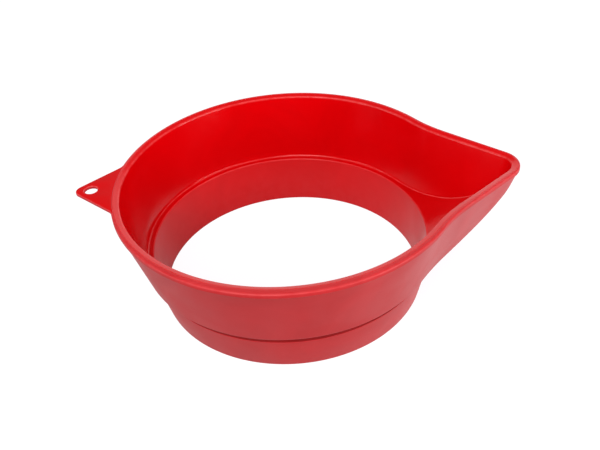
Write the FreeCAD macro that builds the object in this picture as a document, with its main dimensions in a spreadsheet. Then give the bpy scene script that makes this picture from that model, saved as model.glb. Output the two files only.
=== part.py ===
"""Ring-shaped canning funnel with a pouring spout and a hanging tab, as a FreeCAD model.

The real funnel is one plastic moulding. It is modelled as the regions that the moulding is made
of, and they meet face to face: the tapered collar that drops into the jar, the flared bowl with
its rolled lip, the pouring spout and the flat tab with the hanging hole.

Frame: millimetres, +Z up, the origin on the funnel's axis in the plane of the collar's lower
edge, +X towards the tip of the spout and -X towards the hanging tab.
"""
import FreeCAD, Part
import Sketcher
import math
import os

Vector = FreeCAD.Vector
UP = Vector(0, 0, 1)

# Driving dimensions in millimetres and degrees: alias, value, meaning.
SIZES = [
    ("collar_bottom_diameter", 84.0, "outside of the collar at its lower edge"),
    ("collar_wall", 1.0, "thickness of the collar at its lower edge"),
    ("collar_outer_draft", 13.0, "slope of the collar's outside from the axis, degrees"),
    ("collar_inner_draft", 8.8, "slope of the collar's inside from the axis, degrees"),
    ("shoulder_height", 14.5, "height of the shoulder that rests on the jar's rim"),
    ("shoulder_overhang", 1.15, "how far the shoulder stands out past the collar"),
    ("floor_thickness", 1.1, "thickness of the ledge over the shoulder and of the spout's floor"),
    ("bowl_wall", 1.1, "thickness of the bowl's wall where it meets the shoulder"),
    ("bowl_flare", 6.4, "how far the rim stands out past the shoulder"),
    ("rim_height", 37.5, "overall height"),
    ("rim_land", 2.6, "width of the rim's flat top"),
    ("lip_height", 1.5, "height of the lip's band"),
    ("lip_overhang", 0.4, "how far the lip stands out past the wall"),
    ("lip_round", 0.5, "rounding of the lip's upper edge and of the shoulder's edge"),
    ("spout_overhang", 18.5, "the rim's circle to the tip of the spout's lip"),
    ("spout_root_angle", 28.5, "where a side of the spout meets the rim's circle, degrees from X"),
    ("spout_tip_radius", 7.7, "rounding of the spout's tip, at the lip's outside"),
    ("spout_foot_radius", 1.5, "rounding of the spout's tip, projected down to the shoulder"),
    ("spout_blend_radius", 50.0, "hollow curve between the rim's circle and the spout's side"),
    ("sector_margin", 5.4, "how far past its blends the spout's sector of the bowl runs, degrees"),
    ("floor_setback", 1.75, "how far inside the bore the spout's floor starts to rise"),
    ("nose_drop", 1.2, "how far below the rim the spout's underside reaches the tip"),
    ("tab_length", 11.1, "the rim's circle to the tip of the hanging tab"),
    ("tab_root_angle", 13.0, "where a side of the tab meets the rim's circle, degrees from X"),
    ("tab_tip_radius", 2.5, "rounding of the tab's tip"),
    ("tab_thickness", 1.1, "thickness of the tab"),
    ("hang_hole_diameter", 4.0, "hole in the tab"),
    ("hang_hole_setback", 4.7, "tip of the tab to the middle of the hanging hole"),
]

# Sizes that follow from the driving ones, written as FreeCAD expressions on the sheet.
COLLAR_FOOT = "Sizes.collar_bottom_diameter / 2"
COLLAR_BORE = f"({COLLAR_FOOT} - Sizes.collar_wall)"
LEDGE_HEIGHT = "(Sizes.shoulder_height + Sizes.floor_thickness)"
COLLAR_TOP = f"({COLLAR_FOOT} + Sizes.shoulder_height * tan(Sizes.collar_outer_draft))"
BORE_AT_SHOULDER = f"({COLLAR_BORE} + Sizes.shoulder_height * tan(Sizes.collar_inner_draft))"
BORE_AT_LEDGE = f"({COLLAR_BORE} + {LEDGE_HEIGHT} * tan(Sizes.collar_inner_draft))"
BORE_AT_RIM = f"({COLLAR_BORE} + Sizes.rim_height * tan(Sizes.collar_inner_draft))"
SHOULDER_RADIUS = f"({COLLAR_TOP} + Sizes.shoulder_overhang)"
LEDGE_RADIUS = f"({SHOULDER_RADIUS} - Sizes.bowl_wall)"
RIM_RADIUS = f"({SHOULDER_RADIUS} + Sizes.bowl_flare)"
LIP_FOOT = "(Sizes.rim_height - Sizes.lip_height)"
TAB_REACH = f"({RIM_RADIUS} + Sizes.tab_length)"
SPOUT_REACH = f"({RIM_RADIUS} + Sizes.spout_overhang)"

# The spout's side is the line from its root on the rim's circle that touches the tip's arc.
ROOT_X = f"({RIM_RADIUS} * cos(Sizes.spout_root_angle))"
ROOT_Y = f"({RIM_RADIUS} * sin(Sizes.spout_root_angle))"
TIP_DX = f"({SPOUT_REACH} - Sizes.spout_tip_radius - {ROOT_X})"
TIP_SLANT = f"sqrt({TIP_DX} ^ 2 + {ROOT_Y} ^ 2)"
SIDE_ANGLE = f"(atan2({ROOT_Y}; {TIP_DX}) - asin(Sizes.spout_tip_radius / {TIP_SLANT}))"
SIDE_DISTANCE = f"({RIM_RADIUS} * sin(Sizes.spout_root_angle * 1 deg + {SIDE_ANGLE}))"

# The spout's sector of the bowl ends a margin past the start of its hollow blend.
BLEND_COSINE = (f"(({SIDE_DISTANCE} + Sizes.spout_blend_radius)"
                f" / ({RIM_RADIUS} + Sizes.spout_blend_radius))")
SECTOR = f"(90 deg - {SIDE_ANGLE} - acos({BLEND_COSINE}) + Sizes.sector_margin * 1 deg)"

# The spout's underside is an arc, level where it starts and through a point near the tip.
FLOOR_START = f"({BORE_AT_SHOULDER} - Sizes.floor_setback)"
FLOOR_RUN = f"({SPOUT_REACH} - {FLOOR_START})"
FLOOR_RISE = "(Sizes.rim_height - Sizes.nose_drop - Sizes.shoulder_height)"
UNDERSIDE_RADIUS = f"(({FLOOR_RUN} ^ 2 + {FLOOR_RISE} ^ 2) / (2 * {FLOOR_RISE}))"

HOLLOW_SECTOR_SPARE = 5     # degrees by which the spout's hollow runs past its sector
CLEARING = 20               # how far a cutting shape runs past what it cuts
LEVEL_TOLERANCE = 1e-6      # how far from a height an edge may lie and still count as on it
LEAST_CUT = 1               # volume in cubic millimetres that every cut has to take away


def make_sheet(doc):
    """Write the driving dimensions into the document's spreadsheet."""
    sheet = doc.addObject("Spreadsheet::Sheet", "Sizes")
    for row, (alias, value, meaning) in enumerate(SIZES, start=1):
        sheet.set(f"A{row}", alias)
        sheet.set(f"B{row}", str(value))
        sheet.set(f"C{row}", meaning)
        sheet.setAlias(f"B{row}", alias)
    doc.recompute()
    return sheet


def evaluate(sheet, expression):
    """Return the plain number that an expression on the sheet stands for."""
    result = sheet.evalExpression(expression)
    return getattr(result, "Value", result)


def new_body(doc, name):
    """Add an empty body whose label is its name."""
    body = doc.addObject("PartDesign::Body", name)
    body.Label = name
    return body


def origin_plane(body, role):
    """Return the body's own origin plane with the given role."""
    return next(plane for plane in body.Origin.OriginFeatures if plane.Role == role)


def new_sketch(body, name, role, height="0"):
    """Add a sketch on one of the body's origin planes, raised by an expression."""
    sketch = body.newObject("Sketcher::SketchObject", name)
    sketch.AttachmentSupport = [(origin_plane(body, role), "")]
    sketch.MapMode = "FlatFace"
    sketch.setExpression("AttachmentOffset.Base.z", height)
    return sketch


def bind(sketch, name, constraint, expression):
    """Add a dimension to a sketch and bind it to an expression."""
    index = sketch.addConstraint(constraint)
    sketch.renameConstraint(index, name)
    sketch.setExpression(f"Constraints.{name}", expression)


def add_polygon(sketch, sheet, corners):
    """Draw a closed polygon whose corners are held by pairs of expressions."""
    places = [Vector(evaluate(sheet, x), evaluate(sheet, y), 0) for x, y in corners]
    count = len(places)
    for index in range(count):
        sketch.addGeometry(Part.LineSegment(places[index], places[(index + 1) % count]), False)
    for index in range(count):
        following = (index + 1) % count
        sketch.addConstraint(Sketcher.Constraint("Coincident", index, 2, following, 1))
    for index, (x, y) in enumerate(corners):
        place = places[index]
        across = Sketcher.Constraint("DistanceX", -1, 1, index, 1, place.x)
        bind(sketch, f"x{index}", across, x)
        upward = Sketcher.Constraint("DistanceY", -1, 1, index, 1, place.y)
        bind(sketch, f"y{index}", upward, y)


def revolve_about_axis(body, sketch, angle):
    """Turn an upright sketch about the funnel's axis, half of the angle to each side."""
    turn = body.newObject("PartDesign::Revolution", sketch.Name + "_turned")
    turn.Profile = sketch
    turn.ReferenceAxis = (sketch, ["V_Axis"])
    turn.Midplane = True
    turn.setExpression("Angle", angle)
    return turn


def edges_on_level(shape, level, least_radius):
    """Name the outline edges that lie at one height, outside a radius and not along it."""
    names = []
    for index, edge in enumerate(shape.Edges, start=1):
        box = edge.BoundBox
        flat = max(abs(box.ZMin - level), abs(box.ZMax - level)) < LEVEL_TOLERANCE
        ends = [math.hypot(vertex.X, vertex.Y) for vertex in edge.Vertexes]
        if flat and min(ends) > least_radius:
            names.append(f"Edge{index}")
    return names


def round_edges(body, base, level, least_radius, name):
    """Round the outline edges at one height by the lip's rounding."""
    body.Document.recompute()
    fillet = body.newObject("PartDesign::Fillet", name)
    fillet.Base = (base, edges_on_level(base.Shape, level, least_radius))
    fillet.setExpression("Radius", "Sizes.lip_round")
    return fillet


def make_jar_collar(doc, sheet):
    """Tapered ring that drops into the mouth of the jar."""
    body = new_body(doc, "jar_collar")
    section = new_sketch(body, "collar_section", "XZ_Plane")
    add_polygon(section, sheet, [
        (COLLAR_BORE, "0"),
        (COLLAR_FOOT, "0"),
        (COLLAR_TOP, "Sizes.shoulder_height"),
        (BORE_AT_SHOULDER, "Sizes.shoulder_height"),
    ])
    revolve_about_axis(body, section, "360")
    return body


def make_flared_bowl(doc, sheet):
    """Conical wall with its inner ledge and lip, all round except for the spout's sector."""
    body = new_body(doc, "flared_bowl")
    section = new_sketch(body, "bowl_section", "XZ_Plane")
    corners = [
        (BORE_AT_SHOULDER, "Sizes.shoulder_height"),
        (SHOULDER_RADIUS, "Sizes.shoulder_height"),
        (f"{RIM_RADIUS} - Sizes.lip_overhang", LIP_FOOT),
        (RIM_RADIUS, LIP_FOOT),
        (RIM_RADIUS, "Sizes.rim_height"),
        (f"{RIM_RADIUS} - Sizes.rim_land", "Sizes.rim_height"),
        (LEDGE_RADIUS, LEDGE_HEIGHT),
        (BORE_AT_LEDGE, LEDGE_HEIGHT),
    ]
    add_polygon(section, sheet, [(f"-({x})", z) for x, z in corners])
    ring = revolve_about_axis(body, section, f"360 deg - 2 * {SECTOR}")
    rim_edge = evaluate(sheet, f"{RIM_RADIUS} - Sizes.lip_overhang")
    rounded = round_edges(body, ring, evaluate(sheet, "Sizes.rim_height"), rim_edge, "lip_rounded")
    shoulder_edge = evaluate(sheet, COLLAR_TOP)
    round_edges(body, rounded, evaluate(sheet, "Sizes.shoulder_height"), shoulder_edge,
                "shoulder_rounded")
    return body


def outline_points(sheet, inset, tip_radius, sector):
    """Work out one half of a sector outline: its arcs' centres and the points they share."""
    radius = evaluate(sheet, RIM_RADIUS) - inset
    blend = evaluate(sheet, "Sizes.spout_blend_radius") + inset
    slope = math.radians(evaluate(sheet, SIDE_ANGLE))
    distance = evaluate(sheet, SIDE_DISTANCE) - inset
    normal = Vector(math.sin(slope), math.cos(slope), 0)
    along = Vector(math.cos(slope), -math.sin(slope), 0)
    reach_back = math.sqrt((radius + blend) ** 2 - (distance + blend) ** 2)
    blend_centre = normal * (distance + blend) + along * reach_back
    tip_centre = Vector((distance - tip_radius) / math.sin(slope), 0, 0)
    return {
        "radius": radius,
        "blend_radius": blend,
        "corner": Vector(math.cos(sector), math.sin(sector), 0) * radius,
        "blend_centre": blend_centre,
        "blend_start": blend_centre * (radius / (radius + blend)),
        "side_start": blend_centre - normal * blend,
        "tip_centre": tip_centre,
        "side_end": tip_centre + normal * tip_radius,
    }


def arc_between(centre, radius, first, last):
    """Make the arc about a centre that runs anticlockwise from one point to another."""
    start = math.atan2(first.y - centre.y, first.x - centre.x)
    end = math.atan2(last.y - centre.y, last.x - centre.x)
    return Part.ArcOfCircle(Part.Circle(centre, UP, radius), start, end)


def flipped(point):
    """Mirror a point in the funnel's plane of symmetry."""
    return Vector(point.x, -point.y, point.z)


def add_sector_outline(sketch, sheet, inset, tip_radius, sector):
    """Draw the spout's sector of an outline that lies an inset inside the rim's outline.

    The outline runs from the axis out along the sector's edge, round the rim's circle, through
    the hollow blend and along the spout's side to the tip, and back the same way.
    """
    tip_value = evaluate(sheet, tip_radius)
    points = outline_points(sheet, evaluate(sheet, inset), tip_value,
                            math.radians(evaluate(sheet, sector)))
    centre = Vector(0, 0, 0)
    radius = points["radius"]
    blend = points["blend_radius"]
    blend_centre = points["blend_centre"]
    low = {name: flipped(place) for name, place in points.items() if isinstance(place, Vector)}
    geometry = [
        Part.LineSegment(centre, low["corner"]),
        arc_between(centre, radius, low["corner"], low["blend_start"]),
        arc_between(low["blend_centre"], blend, low["side_start"], low["blend_start"]),
        Part.LineSegment(low["side_start"], low["side_end"]),
        arc_between(points["tip_centre"], tip_value, low["side_end"], points["side_end"]),
        Part.LineSegment(points["side_end"], points["side_start"]),
        arc_between(blend_centre, blend, points["blend_start"], points["side_start"]),
        arc_between(centre, radius, points["blend_start"], points["corner"]),
        Part.LineSegment(points["corner"], centre),
    ]
    sketch.addGeometry(geometry, False)
    held_points = [(0, 1, -1, 1), (8, 2, -1, 1), (0, 2, 1, 1), (7, 2, 8, 1), (1, 3, -1, 1),
                   (7, 3, -1, 1)]
    for joint in held_points:
        sketch.addConstraint(Sketcher.Constraint("Coincident", *joint))
    smooth_joints = [(1, 2, 2, 2), (2, 1, 3, 1), (3, 2, 4, 1), (4, 2, 5, 1), (5, 2, 6, 2),
                     (6, 1, 7, 1)]
    for joint in smooth_joints:
        sketch.addConstraint(Sketcher.Constraint("Tangent", *joint))
    sketch.addConstraint(Sketcher.Constraint("PointOnObject", 4, 3, -1))
    sketch.addConstraint(Sketcher.Constraint("Equal", 1, 7))
    sketch.addConstraint(Sketcher.Constraint("Equal", 2, 6))
    bind(sketch, "circle_radius", Sketcher.Constraint("Radius", 7, radius),
         f"{RIM_RADIUS} - ({inset})")
    bind(sketch, "blend_radius", Sketcher.Constraint("Radius", 6, blend),
         f"Sizes.spout_blend_radius + ({inset})")
    bind(sketch, "tip_radius", Sketcher.Constraint("Radius", 4, tip_value), tip_radius)
    distance = evaluate(sheet, f"{SIDE_DISTANCE} - ({inset})")
    bind(sketch, "side_distance", Sketcher.Constraint("Distance", -1, 1, 5, distance),
         f"{SIDE_DISTANCE} - ({inset})")
    slope = math.radians(evaluate(sheet, SIDE_ANGLE))
    bind(sketch, "upper_side", Sketcher.Constraint("Angle", 5, math.pi - slope),
         f"180 deg - {SIDE_ANGLE}")
    bind(sketch, "lower_side", Sketcher.Constraint("Angle", 3, slope), SIDE_ANGLE)
    edge = math.radians(evaluate(sheet, sector))
    bind(sketch, "lower_edge", Sketcher.Constraint("Angle", 0, -edge), f"-{sector}")
    bind(sketch, "upper_edge", Sketcher.Constraint("Angle", 8, edge - math.pi),
         f"{sector} - 180 deg")


def add_outline_sketch(body, sheet, name, height, inset, tip_radius, sector):
    """Add a level sketch that holds a sector outline."""
    sketch = new_sketch(body, name, "XY_Plane", height)
    add_sector_outline(sketch, sheet, inset, tip_radius, sector)
    return sketch


def loft_between(body, lower, upper, name):
    """Join two outlines by straight-sided walls."""
    loft = body.newObject("PartDesign::AdditiveLoft", name)
    loft.Profile = lower
    loft.Sections = [upper]
    loft.Ruled = True
    return loft


def cut_below_floor(body, sheet, thickness, name):
    """Cut away what lies under the spout's rising floor, at a thickness above its underside."""
    sketch = new_sketch(body, name, "XZ_Plane")
    radius = evaluate(sheet, f"{UNDERSIDE_RADIUS} - ({thickness})")
    start_x = evaluate(sheet, FLOOR_START)
    start_z = evaluate(sheet, f"Sizes.shoulder_height + ({thickness})")
    centre = Vector(start_x, start_z + radius, 0)
    sweep = math.asin(evaluate(sheet, f"{FLOOR_RUN} / {UNDERSIDE_RADIUS}"))
    start = Vector(start_x, start_z, 0)
    end = centre + Vector(math.sin(sweep), -math.cos(sweep), 0) * radius
    far_x = evaluate(sheet, SPOUT_REACH) + CLEARING
    low_z = start_z - CLEARING
    sketch.addGeometry([
        arc_between(centre, radius, start, end),
        Part.LineSegment(end, Vector(far_x, end.y, 0)),
        Part.LineSegment(Vector(far_x, end.y, 0), Vector(far_x, low_z, 0)),
        Part.LineSegment(Vector(far_x, low_z, 0), Vector(start_x, low_z, 0)),
        Part.LineSegment(Vector(start_x, low_z, 0), start),
    ], False)
    for joint in ((0, 2, 1, 1), (1, 2, 2, 1), (2, 2, 3, 1), (3, 2, 4, 1), (4, 2, 0, 1)):
        sketch.addConstraint(Sketcher.Constraint("Coincident", *joint))
    sketch.addConstraint(Sketcher.Constraint("Horizontal", 1))
    sketch.addConstraint(Sketcher.Constraint("Vertical", 2))
    sketch.addConstraint(Sketcher.Constraint("Horizontal", 3))
    sketch.addConstraint(Sketcher.Constraint("Vertical", 4))
    sketch.addConstraint(Sketcher.Constraint("Vertical", 0, 1, 0, 3))
    bind(sketch, "floor_radius", Sketcher.Constraint("Radius", 0, radius),
         f"{UNDERSIDE_RADIUS} - ({thickness})")
    bind(sketch, "start_x", Sketcher.Constraint("DistanceX", -1, 1, 0, 1, start_x),
         FLOOR_START)
    bind(sketch, "start_z", Sketcher.Constraint("DistanceY", -1, 1, 0, 1, start_z),
         f"Sizes.shoulder_height + ({thickness})")
    bind(sketch, "arc_run", Sketcher.Constraint("DistanceX", 0, 1, 0, 2, end.x - start_x),
         f"{FLOOR_RUN} * ({UNDERSIDE_RADIUS} - ({thickness})) / {UNDERSIDE_RADIUS}")
    bind(sketch, "far_x", Sketcher.Constraint("DistanceX", -1, 1, 2, 1, far_x),
         f"{SPOUT_REACH} + {CLEARING}")
    bind(sketch, "depth", Sketcher.Constraint("DistanceY", 3, 2, 0, 1, CLEARING),
         str(CLEARING))
    pocket = body.newObject("PartDesign::Pocket", name + "_cut")
    pocket.Profile = sketch
    pocket.Type = "ThroughAll"
    pocket.Midplane = True
    return pocket


def make_spout_block(doc, sheet):
    """Outside of the spout's sector, solid through to the funnel's axis."""
    body = new_body(doc, "spout_block")
    shoulder_inset = f"{RIM_RADIUS} - {SHOULDER_RADIUS}"
    lower = add_outline_sketch(body, sheet, "spout_foot", "Sizes.shoulder_height",
                               shoulder_inset, "Sizes.spout_foot_radius", SECTOR)
    upper = add_outline_sketch(body, sheet, "spout_wall_top", LIP_FOOT, "Sizes.lip_overhang",
                               "Sizes.spout_tip_radius - Sizes.lip_overhang", SECTOR)
    loft_between(body, lower, upper, "spout_wall")
    lip_outline = add_outline_sketch(body, sheet, "spout_lip_outline", LIP_FOOT, "0",
                                     "Sizes.spout_tip_radius", SECTOR)
    doc.recompute()
    lip = body.newObject("PartDesign::Pad", "spout_lip")
    lip.Profile = lip_outline
    lip.setExpression("Length", "Sizes.lip_height")
    rim_edge = evaluate(sheet, f"{RIM_RADIUS} - Sizes.lip_overhang")
    rounded = round_edges(body, lip, evaluate(sheet, "Sizes.rim_height"), rim_edge,
                          "spout_lip_rounded")
    shoulder_edge = evaluate(sheet, COLLAR_TOP)
    round_edges(body, rounded, evaluate(sheet, "Sizes.shoulder_height"), shoulder_edge,
                "spout_foot_rounded")
    doc.recompute()
    before = body.Shape.Volume
    cut_below_floor(body, sheet, "0", "underside")
    doc.recompute()
    check_smaller(body, before)
    return body


def make_spout_hollow(doc, sheet):
    """Space inside the spout, over its floor, to be taken out of the block."""
    body = new_body(doc, "spout_hollow")
    sector = f"({SECTOR} + {HOLLOW_SECTOR_SPARE} deg)"
    ledge_inset = f"{RIM_RADIUS} - {LEDGE_RADIUS}"
    lower = add_outline_sketch(body, sheet, "hollow_foot", LEDGE_HEIGHT, ledge_inset,
                               "Sizes.spout_foot_radius - Sizes.bowl_wall", sector)
    upper = add_outline_sketch(body, sheet, "hollow_top", "Sizes.rim_height", "Sizes.rim_land",
                               "Sizes.spout_tip_radius - Sizes.rim_land", sector)
    loft_between(body, lower, upper, "hollow_walls")
    doc.recompute()
    before = body.Shape.Volume
    cut_below_floor(body, sheet, "Sizes.floor_thickness", "floor")
    doc.recompute()
    check_smaller(body, before)
    return body


def make_bore(doc):
    """Cone that carries the collar's inside on up through the shoulder."""
    bore = doc.addObject("Part::Cone", "bore")
    bore.setExpression("Radius1", COLLAR_BORE)
    bore.setExpression("Radius2", BORE_AT_RIM)
    bore.setExpression("Height", "Sizes.rim_height")
    return bore


def make_pouring_spout(doc, sheet):
    """Spout: its block with the hollow and the collar's bore taken out."""
    block = make_spout_block(doc, sheet)
    hollow = make_spout_hollow(doc, sheet)
    open_block = doc.addObject("Part::Cut", "spout_opened")
    open_block.Base = block
    open_block.Tool = hollow
    spout = doc.addObject("Part::Cut", "pouring_spout")
    spout.Base = open_block
    spout.Tool = make_bore(doc)
    spout.Label = "pouring_spout"
    return spout


def make_hanging_tab(doc, sheet):
    """Flat three-cornered tab, level with the rim, with a round hole near its tip."""
    body = new_body(doc, "hanging_tab")
    sketch = new_sketch(body, "tab_outline", "XY_Plane", "Sizes.rim_height - Sizes.tab_thickness")
    radius = evaluate(sheet, RIM_RADIUS)
    root = math.radians(evaluate(sheet, "Sizes.tab_root_angle"))
    tip_radius = evaluate(sheet, "Sizes.tab_tip_radius")
    tip_x = evaluate(sheet, TAB_REACH) - tip_radius
    upper = Vector(-radius * math.cos(root), radius * math.sin(root), 0)
    span = Vector(tip_x + upper.x, upper.y, 0)
    slope = math.atan2(span.y, span.x) - math.asin(tip_radius / span.Length)
    tip_centre = Vector(-tip_x, 0, 0)
    touch = tip_centre + Vector(-math.sin(slope), math.cos(slope), 0) * tip_radius
    hole_radius = evaluate(sheet, "Sizes.hang_hole_diameter") / 2
    hole_reach = evaluate(sheet, f"{TAB_REACH} - Sizes.hang_hole_setback")
    hole_centre = Vector(-hole_reach, 0, 0)
    sketch.addGeometry([
        arc_between(Vector(0, 0, 0), radius, upper, flipped(upper)),
        Part.LineSegment(flipped(upper), flipped(touch)),
        arc_between(tip_centre, tip_radius, touch, flipped(touch)),
        Part.LineSegment(touch, upper),
        Part.Circle(hole_centre, UP, hole_radius),
    ], False)
    sketch.addConstraint(Sketcher.Constraint("Coincident", 0, 3, -1, 1))
    sketch.addConstraint(Sketcher.Constraint("Coincident", 0, 2, 1, 1))
    sketch.addConstraint(Sketcher.Constraint("Coincident", 3, 2, 0, 1))
    sketch.addConstraint(Sketcher.Constraint("Tangent", 1, 2, 2, 2))
    sketch.addConstraint(Sketcher.Constraint("Tangent", 2, 1, 3, 1))
    sketch.addConstraint(Sketcher.Constraint("PointOnObject", 2, 3, -1))
    sketch.addConstraint(Sketcher.Constraint("PointOnObject", 4, 3, -1))
    sketch.addConstraint(Sketcher.Constraint("Symmetric", 0, 1, 0, 2, -1))
    bind(sketch, "rim_radius", Sketcher.Constraint("Radius", 0, radius), RIM_RADIUS)
    bind(sketch, "root_width", Sketcher.Constraint("DistanceY", 0, 2, 0, 1, 2 * upper.y),
         f"2 * {RIM_RADIUS} * sin(Sizes.tab_root_angle)")
    bind(sketch, "tip_radius", Sketcher.Constraint("Radius", 2, tip_radius), "Sizes.tab_tip_radius")
    bind(sketch, "tip_centre", Sketcher.Constraint("DistanceX", 2, 3, -1, 1, tip_x),
         f"{TAB_REACH} - Sizes.tab_tip_radius")
    bind(sketch, "hole_diameter", Sketcher.Constraint("Diameter", 4, 2 * hole_radius),
         "Sizes.hang_hole_diameter")
    bind(sketch, "hole_reach", Sketcher.Constraint("DistanceX", 4, 3, -1, 1, hole_reach),
         f"{TAB_REACH} - Sizes.hang_hole_setback")
    doc.recompute()
    plate = body.newObject("PartDesign::Pad", "tab_plate")
    plate.Profile = sketch
    plate.setExpression("Length", "Sizes.tab_thickness")
    return body


def check_smaller(body, before):
    """Stop if a cut took nothing away."""
    if not body.Shape.Volume < before - LEAST_CUT:
        raise RuntimeError(f"the cut in {body.Label} removed nothing")


def check_document(doc, parts):
    """Stop if any object failed or any sub-part isn't one valid solid."""
    for item in doc.Objects:
        if "Invalid" in item.State or "Error" in item.State:
            raise RuntimeError(f"{item.Label} failed: {item.State}")
    for part in parts:
        shape = part.Shape
        if shape.isNull() or not shape.isValid() or len(shape.Solids) != 1:
            raise RuntimeError(f"{part.Label} isn't one valid solid")


def write_steps(parts):
    """Write each sub-part to its own STEP file."""
    os.makedirs("parts", exist_ok=True)
    for part in parts:
        part.Shape.exportStep(f"parts/{part.Label}.step")
        box = part.Shape.BoundBox
        print(f"{part.Label}: volume {part.Shape.Volume:.1f} mm3, "
              f"X {box.XMin:.2f} to {box.XMax:.2f}, Y {box.YMin:.2f} to {box.YMax:.2f}, "
              f"Z {box.ZMin:.2f} to {box.ZMax:.2f}")


def main():
    """Build the funnel and write its sub-parts."""
    doc = FreeCAD.newDocument("canning_funnel")
    sheet = make_sheet(doc)
    parts = [
        make_jar_collar(doc, sheet),
        make_flared_bowl(doc, sheet),
        make_pouring_spout(doc, sheet),
        make_hanging_tab(doc, sheet),
    ]
    doc.recompute()
    check_document(doc, parts)
    write_steps(parts)


main()
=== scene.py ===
"""Canning funnel in red polypropylene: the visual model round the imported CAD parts.

The funnel is one moulding, so it is one continuous closed mesh: a turned collar that a Geometry
Nodes tree sweeps round the axis, and a bowl, spout, lip and hanging tab whose section is carried
along the funnel's outline. Lengths are in metres, in the frame of the CAD parts: +Z up, the origin
on the axis at the collar's lower edge, +X towards the spout and -X towards the tab.
"""

import logging
import math
from dataclasses import dataclass, field
from enum import Enum
from typing import Callable, ClassVar, Optional

import bmesh
import bpy
import numpy as np
from mathutils import Matrix, Vector


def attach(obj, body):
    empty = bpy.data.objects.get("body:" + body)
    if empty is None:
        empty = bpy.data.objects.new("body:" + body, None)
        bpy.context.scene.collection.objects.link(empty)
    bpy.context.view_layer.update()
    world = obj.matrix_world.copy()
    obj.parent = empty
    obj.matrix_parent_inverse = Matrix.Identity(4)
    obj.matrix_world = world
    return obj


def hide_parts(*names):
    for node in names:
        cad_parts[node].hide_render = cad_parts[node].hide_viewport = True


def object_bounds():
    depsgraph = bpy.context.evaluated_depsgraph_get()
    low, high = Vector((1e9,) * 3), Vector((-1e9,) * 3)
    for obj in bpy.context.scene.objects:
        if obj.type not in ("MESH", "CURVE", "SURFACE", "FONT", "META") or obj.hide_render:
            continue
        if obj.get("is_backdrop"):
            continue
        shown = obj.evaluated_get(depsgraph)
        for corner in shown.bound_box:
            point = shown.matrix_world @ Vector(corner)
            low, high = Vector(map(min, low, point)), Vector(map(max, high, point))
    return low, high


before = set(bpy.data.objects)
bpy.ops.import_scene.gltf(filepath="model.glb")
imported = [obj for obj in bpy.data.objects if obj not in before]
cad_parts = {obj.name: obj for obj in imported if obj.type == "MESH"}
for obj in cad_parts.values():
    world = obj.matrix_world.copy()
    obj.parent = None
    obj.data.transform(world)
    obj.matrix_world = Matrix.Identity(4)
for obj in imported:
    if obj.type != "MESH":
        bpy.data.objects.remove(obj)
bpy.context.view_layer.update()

LOG = logging.getLogger("canning_funnel")
MM = 0.001
BODY = "root"
STATIONS = 480              # sections round the funnel
HALF_STATIONS = STATIONS // 2
WELD_DISTANCE = 0.001 * MM  # corners closer than this are one corner


ROUNDING_LIMIT = 0.45       # share of a stretch that the rounding at either end may take
ARC_PULL = 0.56             # pull on a Bezier's handles that makes a right angle an arc
ARC_REACH = 0.999           # share of an arc's radius that its height is followed for
NARROW_FACE = 0.25          # width of the face at a stretch's end against an even one
SENSOR_WIDTH = 36.0         # of the camera, in millimetres
LEDGE_MARK_REACH = 44.9 * MM    # from the axis to the middles of the ledge's gate marks
COLLAR_MARK_HEIGHT = 13.4 * MM


class Finish(Enum):
    """The finishes of the plastic, as material slots; the last is no finish but a darker red
    painted into the groove as shade.
    """

    POLISHED = 0
    SATIN = 1
    DRAWN = 2
    # painted shade: a darker, duller red that stands for the shade in the groove under the
    # shoulder
    PAINTED_GROOVE_SHADE = 3


class Stretch(Enum):
    """The stretches of the moulding's section, in order from the bore to the collar."""

    BORE = "bore"
    FLOOR = "ledge and spout floor"
    WALL = "inside of the wall"
    BEVEL = "rim's bevel"
    CREST = "rim's crest"
    BAND = "lip's band"
    LOWER_BAND = "lip's band under the tab"
    LIP_FOOT = "lip's foot"
    OUTSIDE = "outside of the wall"
    UNDERSIDE = "shoulder and spout's underside"
    GROOVE = "groove under the shoulder"
    GROOVE_FOOT = "groove's foot"
    COLLAR = "top of the collar's outside"


# --------------------------------------------------------------------------- node helpers

def group_input(tree: bpy.types.NodeTree, name: str, kind: str, value: object = None) -> None:
    """Add a named input to a node tree.

    Args:
        tree: The tree that gets the input.
        name: The input's name.
        kind: Its socket type, without the NodeSocket prefix.
        value: Its default value, or None to leave it.
    """
    socket = tree.interface.new_socket(name=name, in_out="INPUT", socket_type="NodeSocket" + kind)
    if value is not None:
        socket.default_value = value


def group_output(tree: bpy.types.NodeTree, name: str, kind: str) -> None:
    """Add a named output of the given socket type to a node tree."""
    tree.interface.new_socket(name=name, in_out="OUTPUT", socket_type="NodeSocket" + kind)


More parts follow.
